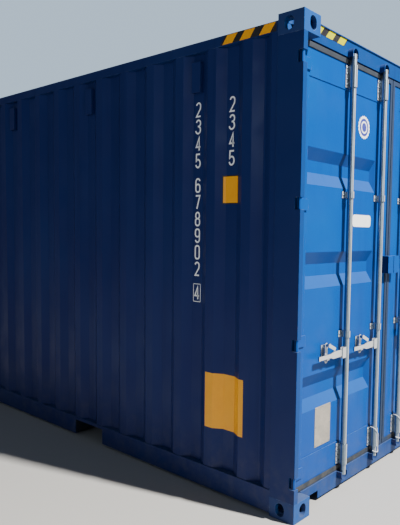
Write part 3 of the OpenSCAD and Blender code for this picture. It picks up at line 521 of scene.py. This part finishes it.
def flat_piece(name, outline, place, body, mat, thick=0.0006, chamfer=0.0):
    """A thin plate: the outline's (u, v) points through place(u, v, out)."""
    n = len(outline)
    verts = [place(u, v, 0) for u, v in outline]
    faces = [tuple(range(n))[::-1]]
    levels = [(thick, 0.0)] if not chamfer else [(thick - chamfer, 0.0), (thick, chamfer)]
    for out, inset in levels:
        base = len(verts) - n
        for u, v in outline:
            reach = math.hypot(u, v) or 1
            verts.append(place(u * (1 - inset / reach), v * (1 - inset / reach), out))
        for i in range(n):
            j = (i + 1) % n
            faces.append((base + i, base + j, base + n + j, base + n + i))
    faces.append(tuple(range(len(verts) - n, len(verts))))
    return add_mesh(name, verts, faces, body, mat)


# Numbers on the left wall: the top of a column, the pitch of the digits, and a digit's height,
# width and line
DIGIT_TOP = 2.505
DIGIT_STEP = 0.1085
DIGIT_HEIGHT = 0.095
DIGIT_WIDTH = 0.047
DIGIT_LINE = 0.0105
# The height of a space, as a share of the pitch
SPACE = 0.45
# Each further stroke of a digit lies higher than the one before, by this share of STICKER
STROKE_RISE = 0.2
SHORT_NUMBER = ("number_short", "2345", 0.549)
LONG_NUMBER = ("number_long", "2345 678902 4", 0.841)
# The frame round the last digit: width, height, line, and the radii of its corners
FRAME_W = 0.068
FRAME_H = 0.120
FRAME_LINE = 0.004
FRAME_RADII = (0.008, 0.005)


def bow(cx, cy, rx, ry, start, end, steps=6):
    """Points on an ellipse from the start angle to the end angle, in degrees."""
    turns = [math.radians(start + (end - start) * i / steps) for i in range(steps + 1)]
    return [(cx + rx * math.cos(a), cy + ry * math.sin(a)) for a in turns]


def loop(y0, y1, x0=0.0, x1=1.0):
    """A closed stroke with round corners."""
    rx, ry = 0.42, 0.20
    path = bow(x1 - rx, y1 - ry, rx, ry, 0, 90) + bow(x0 + rx, y1 - ry, rx, ry, 90, 180)
    path += bow(x0 + rx, y0 + ry, rx, ry, 180, 270) + bow(x1 - rx, y0 + ry, rx, ry, 270, 360)
    return path + path[:1]


def digit_paths(digit):
    """Strokes of a narrow digit in a box 1 wide and 1 high."""
    hook = bow(0.5, 0.79, 0.5, 0.21, 170, 0)
    return {
        "0": [loop(0, 1)],
        "2": [hook + bow(0.5, 0.79, 0.5, 0.42, 0, -38)[1:] + [(0.0, 0.0), (1.0, 0.0)]],
        "3": [
            hook + bow(0.5, 0.74, 0.5, 0.20, 0, -90)[1:] + [(0.36, 0.54)],
            bow(0.42, 0.27, 0.58, 0.27, 80, -170, 12),
        ],
        "4": [[(0.72, 0.0), (0.72, 1.0), (0.0, 0.27), (1.0, 0.27)]],
        "5": [
            [(0.96, 1.0), (0.08, 1.0), (0.04, 0.52)] + bow(0.46, 0.30, 0.54, 0.30, 140, -165, 14)
        ],
        "6": [bow(0.5, 0.79, 0.5, 0.21, 10, 180) + [(0.0, 0.30)], loop(0, 0.58)],
        "7": [[(0.0, 1.0), (1.0, 1.0), (0.30, 0.0)]],
        "8": [loop(0, 0.53), loop(0.53, 1, 0.05, 0.95)],
        "9": [bow(0.5, 0.21, 0.5, 0.21, -170, 0) + [(1.0, 0.70)], loop(0.42, 1)],
    }[digit]


def ribbon(path, line):
    """A flat strip of the given width along a path, as (verts, faces)."""
    closed = path[0] == path[-1]
    points = [Vector(p) for p in (path[:-1] if closed else path)]
    n = len(points)
    verts, faces = [], []
    for i, point in enumerate(points):
        before = points[i - 1] if closed or i else point
        after = points[(i + 1) % n] if closed or i < n - 1 else point
        one = (point - before).normalized() if before != point else (after - point).normalized()
        two = (after - point).normalized() if after != point else one
        lean = one + two
        lean = lean.normalized() if lean.length > 0.2 else one
        side = Vector((-lean.y, lean.x)) * (line / 2 / max(0.5, lean.dot(one)))
        verts += [point + side, point - side]
    for i in range(n if closed else n - 1):
        j = (i + 1) % n
        faces.append((2 * i, 2 * i + 1, 2 * j + 1, 2 * j))
    return verts, faces


def digit_column(name, text, y):
    """Digits one below the other. Returns the height of the last one's middle."""
    verts, faces = [], []
    inner_w, inner_h = DIGIT_WIDTH - DIGIT_LINE, DIGIT_HEIGHT - DIGIT_LINE
    z = DIGIT_TOP - DIGIT_HEIGHT / 2
    for letter in text:
        if letter == " ":
            z -= SPACE * DIGIT_STEP
            continue
        for k, path in enumerate(digit_paths(letter)):
            path = [((u - 0.5) * inner_w, (v - 0.5) * inner_h) for u, v in path]
            points, strips = ribbon(path, DIGIT_LINE)
            base = len(verts)
            out = STICKER * (1 + STROKE_RISE * k)
            verts += [on_left(y, z + v, out) - Vector((0, u, 0)) for u, v in points]
            faces += [tuple(base + i for i in strip) for strip in strips]
        z -= DIGIT_STEP
    add_film(name, verts, faces, (1, 0, 0), digit_white)
    return z + DIGIT_STEP


def box_frame(name, y, z):
    """The frame round a digit whose middle is at (y, z)."""
    outer = rounded_rect(FRAME_W, FRAME_H, FRAME_RADII[0])
    inner = rounded_rect(FRAME_W - 2 * FRAME_LINE, FRAME_H - 2 * FRAME_LINE, FRAME_RADII[1])
    verts = [on_left(y, z + v) - Vector((0, u, 0)) for u, v in outer + inner]
    n = len(outer)
    faces = [(i, (i + 1) % n, n + (i + 1) % n, n + i) for i in range(n)]
    return add_film(name, verts, faces, (1, 0, 0), digit_white)


def wall_label(name, y0, y1, z0, z1, mat, out=STICKER):
    """A label that follows the corrugation of the left wall."""
    ys = wall_breaks(y0, y1)
    verts = [on_left(y, z, out) for y in ys for z in (z0, z1)]
    faces = [(2 * i, 2 * i + 2, 2 * i + 3, 2 * i + 1) for i in range(len(ys) - 1)]
    return add_film(name, verts, faces, (1, 0, 0), mat)


# Striped tape of a tall container: the lower and the upper edge, how far a stripe leans, a
# stripe's width, and where the stripes start
RAIL_TAPE = (2.8085, 2.8605)
RAIL_STRIPE = 0.080
RAIL_STRIPES = (0.2375, 0.3865, 0.5240)
HEADER_TAPE = (2.834, 2.8815)
HEADER_STRIPE = 0.072
HEADER_STRIPES = (0.183, 0.315, 0.443)
LEAN = 0.041


def tape(name, at, outline, out, inward, mat):
    """A flat film: the outline's (u, z) points through at(u, z, out)."""
    corners = [at(u, z, out) for u, z in outline]
    add_film(name, corners, [(0, 1, 2, 3)], inward, mat)


def rail_stripes():
    """Slanted stripes on the top rails beside the door corners."""
    z0, z1 = RAIL_TAPE
    for side, label in ((-1, "left"), (1, "right")):
        def at(y, z, out):
            return Vector((side * (HW - RAIL_IN + out), -HL + y, z))
        inward = (-side, 0, 0)
        ground = [(0.192, z0), (0.622, z0), (0.581, z1), (0.192, z1)]
        tape(f"rail_tape_{label}", at, ground, STICKER, inward, black_film)
        for i, start in enumerate(RAIL_STRIPES):
            end = start + RAIL_STRIPE
            stripe = [(start, z0), (end, z0), (end - LEAN, z1), (start - LEAN, z1)]
            name = f"orange_stripe_{label}_{i + 1}"
            tape(name, at, stripe, 2 * STICKER, inward, orange_film)


def header_stripes():
    """Slanted squares on the header beside the castings."""
    z0, z1 = HEADER_TAPE
    for side, label in ((-1, "left"), (1, "right")):
        def at(x, z, out):
            return Vector((side * (HW - x), -HL + HEADER_Y - out, z))
        inward = (0, 1, 0)
        ground = [(0.165, z0), (0.525, z0), (0.566, z1), (0.165, z1)]
        tape(f"header_tape_{label}", at, ground, STICKER, inward, black_film)
        for i, start in enumerate(HEADER_STRIPES):
            end = start + HEADER_STRIPE
            stripe = [(start, z0), (end, z0), (end + LEAN, z1), (start + LEAN, z1)]
            name = f"header_square_{label}_{i + 1}"
            tape(name, at, stripe, 2 * STICKER, inward, lemon_film)


def markings():
    """Generic numbers, bare labels and the striped tape."""
    digit_column(*SHORT_NUMBER)
    last = digit_column(*LONG_NUMBER)
    box_frame("number_box", LONG_NUMBER[2], last)
    wall_label("label_small_edge", 0.483, 0.615, 1.850, 2.026, black_film)
    wall_label("label_small", 0.490, 0.608, 1.857, 2.019, orange_film, 2 * STICKER)
    wall_label("label_large", 0.400, 0.722, 0.418, 0.775, orange_film)
    rail_stripes()
    header_stripes()


# Plate and films on the left leaf: their middles, from the left side plane and from the ground
PLATE_PLACE = (0.408, 0.471)
PLATE_RIVETS = (0.080, 0.118)
WHITE_PLACE = (0.838, 1.765)
ROUND_PLACE = (0.833, 2.386)
# The round sticker's rim: radius, depth and number of its waves, number of points
RIM_RADIUS = 0.0735
RIM_WAVE = 0.0028
RIM_WAVES = 20
RIM_POINTS = 160
# Its discs, one on top of the other: name, radius, material, thickness
DISCS = (
    ("blue", 0.058, roundel_blue, 0.0010),
    ("ring", 0.040, white_film, 0.0014),
    ("middle", 0.030, roundel_blue, 0.0018),
)
DISC_POINTS = 64


def door_plates():
    at = around_panel_point(*PLATE_PLACE)
    outline = rounded_rect(0.178, 0.254, 0.006)
    flat_piece("data_plate", outline, at, "left_door", plate_metal, 0.0022, 0.0008)
    across, up = PLATE_RIVETS
    spots = [(u, v) for v in (up, 0, -up) for u in (-across, 0, across) if u or v]
    for i, (u, v) in enumerate(spots):
        dome(f"plate_rivet_{i + 1}", at(u, v, 0.002), 0.0042, 0.0026, "left_door")

    at = around_panel_point(*WHITE_PLACE)
    outline = rounded_rect(0.245, 0.080, 0.022)
    flat_piece("white_label", outline, at, "left_door", white_film)

    at = around_panel_point(*ROUND_PLACE)
    rim = []
    for a in (2 * math.pi * i / RIM_POINTS for i in range(RIM_POINTS)):
        radius = RIM_RADIUS + RIM_WAVE * math.cos(RIM_WAVES * a)
        rim.append((radius * math.cos(a), radius * math.sin(a)))
    flat_piece("roundel_rim", rim, at, "left_door", white_film, 0.0005)
    for label, radius, mat, thick in DISCS:
        turns = [2 * math.pi * i / DISC_POINTS for i in range(DISC_POINTS)]
        disc = [(radius * math.cos(a), radius * math.sin(a)) for a in turns]
        flat_piece(f"roundel_{label}", disc, at, "left_door", mat, thick)


# Bolts and rivets: the rings and the sides of a head, and its flat tip's share of the radius
DOME_RINGS = 3
DOME_SIDES = 12
DOME_TIP = 0.15
# Bolts of a bearing and of a guide above its foot, their distance from the bar, radius, height
BEARING_BOLTS = (0.018, 0.052, 0.086, 0.120)
GUIDE_BOLT = 0.021
BOLT_OFF = 0.030
BOLT_R = 0.0075
BOLT_TALL = 0.0055


def dome(name, at, radius, tall, body):
    """The round head of a bolt or rivet that looks out of the door end."""
    n = DOME_SIDES
    axis = Vector((0, -1, 0))
    u = axis.orthogonal().normalized()
    v = axis.cross(u)
    verts, faces = [], []
    for k in range(DOME_RINGS + 1):
        a = math.pi / 2 * k / DOME_RINGS
        share = math.cos(a) if k < DOME_RINGS else DOME_TIP
        for i in range(n):
            t = 2 * math.pi * i / n
            out = (u * math.cos(t) + v * math.sin(t)) * radius * share
            verts.append(at + out + axis * tall * math.sin(a))
        if k:
            for i in range(n):
                j = (i + 1) % n
                faces.append((k * n - n + i, k * n - n + j, k * n + j, k * n + i))
    faces.append(tuple(range(DOME_RINGS * n, (DOME_RINGS + 1) * n)))
    faces.append(tuple(range(n))[::-1])
    return add_mesh(name, verts, faces, body, materials["gear_zinc"], smooth=True)


def bolts():
    """Two bolts in each row of the bearings and the guides, one on each side of the bar."""
    rows = [(foot + h, LEAF_Y - BRACKET_T) for foot in BEARING_FEET for h in BEARING_BOLTS]
    rows += [(foot + GUIDE_BOLT, PANEL_Y - BRACKET_T) for foot in GUIDE_FEET]
    for side, sign in (("left", -1), ("right", 1)):
        for name, bar in zip(("outer", "inner"), BARS):
            for i, (z, y) in enumerate(rows):
                for k, off in enumerate((-BOLT_OFF, BOLT_OFF)):
                    at = Vector((sign * (HW - bar - off), -HL + y, z))
                    bolt = f"bolt_{side}_{name}_{i + 1}_{k + 1}"
                    dome(bolt, at, BOLT_R, BOLT_TALL, f"{side}_door")


# Wires tied round the lower bearings of the inner bars
# Each row is an angle round the bar in degrees from the front, a height, and a distance from
# the bar's axis
WIRE_ROUTE = (
    (-150, 0.3080, 0.0279), (-120, 0.3092, 0.0279), (-90, 0.3095, 0.0279),
    (-60, 0.3040, 0.0279), (-35, 0.2920, 0.0279), (-10, 0.2770, 0.0279),
    (12, 0.2620, 0.0281), (30, 0.2470, 0.0288), (43, 0.2300, 0.0300),
    (50, 0.2100, 0.0312), (52, 0.1880, 0.0318), (52, 0.1660, 0.0320),
    (51, 0.1480, 0.0322), (47, 0.1350, 0.0320), (36, 0.1285, 0.0305),
    (20, 0.1275, 0.0282), (2, 0.1290, 0.0262), (-20, 0.1320, 0.0250),
    (-50, 0.1360, 0.0243), (-80, 0.1400, 0.0240),
)
WIRE_D = 0.0055
WIRE_SIDES = 8


def smooth_path(points, steps=4):
    """A curve through the points, with some steps between each two."""
    ends = [2 * points[0] - points[1]] + points + [2 * points[-1] - points[-2]]
    path = []
    for a, b, c, d in zip(ends, ends[1:], ends[2:], ends[3:]):
        for i in range(steps):
            t = i / steps
            bend = (2 * a - 5 * b + 4 * c - d) * t ** 2
            path.append(0.5 * (2 * b + (c - a) * t + bend + (3 * b - a - 3 * c + d) * t ** 3))
    return path + [points[-1]]


def tube(path, diameter, n):
    """A closed tube with n sides along a path, as (verts, faces)."""
    verts, faces = [], []
    across = Vector((0, 0, 1))
    for i, point in enumerate(path):
        along = (path[min(i + 1, len(path) - 1)] - path[max(i - 1, 0)]).normalized()
        across = (across - along * across.dot(along)).normalized()
        other = along.cross(across)
        for k in range(n):
            t = 2 * math.pi * k / n
            verts.append(point + (across * math.cos(t) + other * math.sin(t)) * diameter / 2)
        if i:
            for k in range(n):
                j = (k + 1) % n
                a, b = (i - 1) * n, i * n
                faces.append((a + k, a + j, b + j, b + k))
    faces.append(tuple(range(n))[::-1])
    faces.append(tuple(range(len(verts) - n, len(verts))))
    return verts, faces


def tie_wires():
    for side, sign in (("left", -1), ("right", 1)):
        axis = Vector((sign * (HW - BARS[1]), -HL + BAR_Y, 0))
        knots = [
            axis + Vector((r * math.sin(math.radians(turn)), -r * math.cos(math.radians(turn)), z))
            for turn, z, r in WIRE_ROUTE
        ]
        path = smooth_path(knots)
        verts, faces = tube(path, WIRE_D, WIRE_SIDES)
        wire = add_mesh(f"tie_wire_{side}", verts, faces, f"{side}_door",
                        wire_metal, smooth=True)
        length = sum((b - a).length for a, b in zip(path, path[1:]))
        tuple(path[0])
        [tuple(q) for q in path]


# Lights: place, aim, size in metres, power in watts, colour
KEY_LIGHT = ("key", (1.1, -11.2, 12.8), (-0.4, -2.9, 1.3), (0.5, 0.5), 7600, (1.0, 0.97, 0.92))
FILL_LIGHT = ("fill", (-14.0, -7.0, 5.0), (-1.2, -0.5, 1.4), (4, 3), 170, (0.72, 0.84, 1.0))
# The world's colour and strength, as a light and as the camera sees it
SKY_LIGHT = ((0.70, 0.82, 1.0, 1), 0.13)
SKY_SEEN = ((0.62, 0.80, 1.0, 1), 0.9)
FLOOR_HALF = 40
FLOOR_COLOUR = (0.42, 0.415, 0.40, 1)
FLOOR_ROUGH = 0.8


def area_light(name, place, aim, size, power, colour):
    data = bpy.data.lights.new(name, "AREA")
    data.shape = "RECTANGLE"
    data.size, data.size_y = size
    data.energy = power
    data.color = colour
    light = bpy.data.objects.new(name, data)
    bpy.context.scene.collection.objects.link(light)
    light.location = place
    light.rotation_mode = "QUATERNION"
    light.rotation_quaternion = (Vector(aim) - Vector(place)).to_track_quat("-Z", "Y")


def make_sky():
    world = bpy.data.worlds.new("studio")
    bpy.context.scene.world = world
    world.use_nodes = True
    tree = world.node_tree
    soft = tree.nodes["Background"]
    seen = tree.nodes.new("ShaderNodeBackground")
    for sky, (colour, strength) in ((soft, SKY_LIGHT), (seen, SKY_SEEN)):
        sky.inputs["Color"].default_value = colour
        sky.inputs["Strength"].default_value = strength
    path = tree.nodes.new("ShaderNodeLightPath")
    pick = tree.nodes.new("ShaderNodeMixShader")
    tree.links.new(path.outputs["Is Camera Ray"], pick.inputs[0])
    tree.links.new(soft.outputs[0], pick.inputs[1])
    tree.links.new(seen.outputs[0], pick.inputs[2])
    tree.links.new(pick.outputs[0], tree.nodes["World Output"].inputs["Surface"])


def make_floor():
    s = FLOOR_HALF
    mesh = bpy.data.meshes.new("floor")
    mesh.from_pydata([(-s, -s, 0), (s, -s, 0), (s, s, 0), (-s, s, 0)], [], [(0, 1, 2, 3)])
    floor = bpy.data.objects.new("floor", mesh)
    bpy.context.scene.collection.objects.link(floor)
    mat = bpy.data.materials.new("floor_grey")
    mat.use_nodes = True
    bsdf = mat.node_tree.nodes["Principled BSDF"]
    bsdf.inputs["Base Color"].default_value = FLOOR_COLOUR
    bsdf.inputs["Roughness"].default_value = FLOOR_ROUGH
    floor.data.materials.append(mat)


def make_studio():
    make_sky()
    area_light(*KEY_LIGHT)
    area_light(*FILL_LIGHT)
    make_floor()


make_camera()
dress_nodes()
markings()
door_plates()
bolts()
tie_wires()
make_studio()
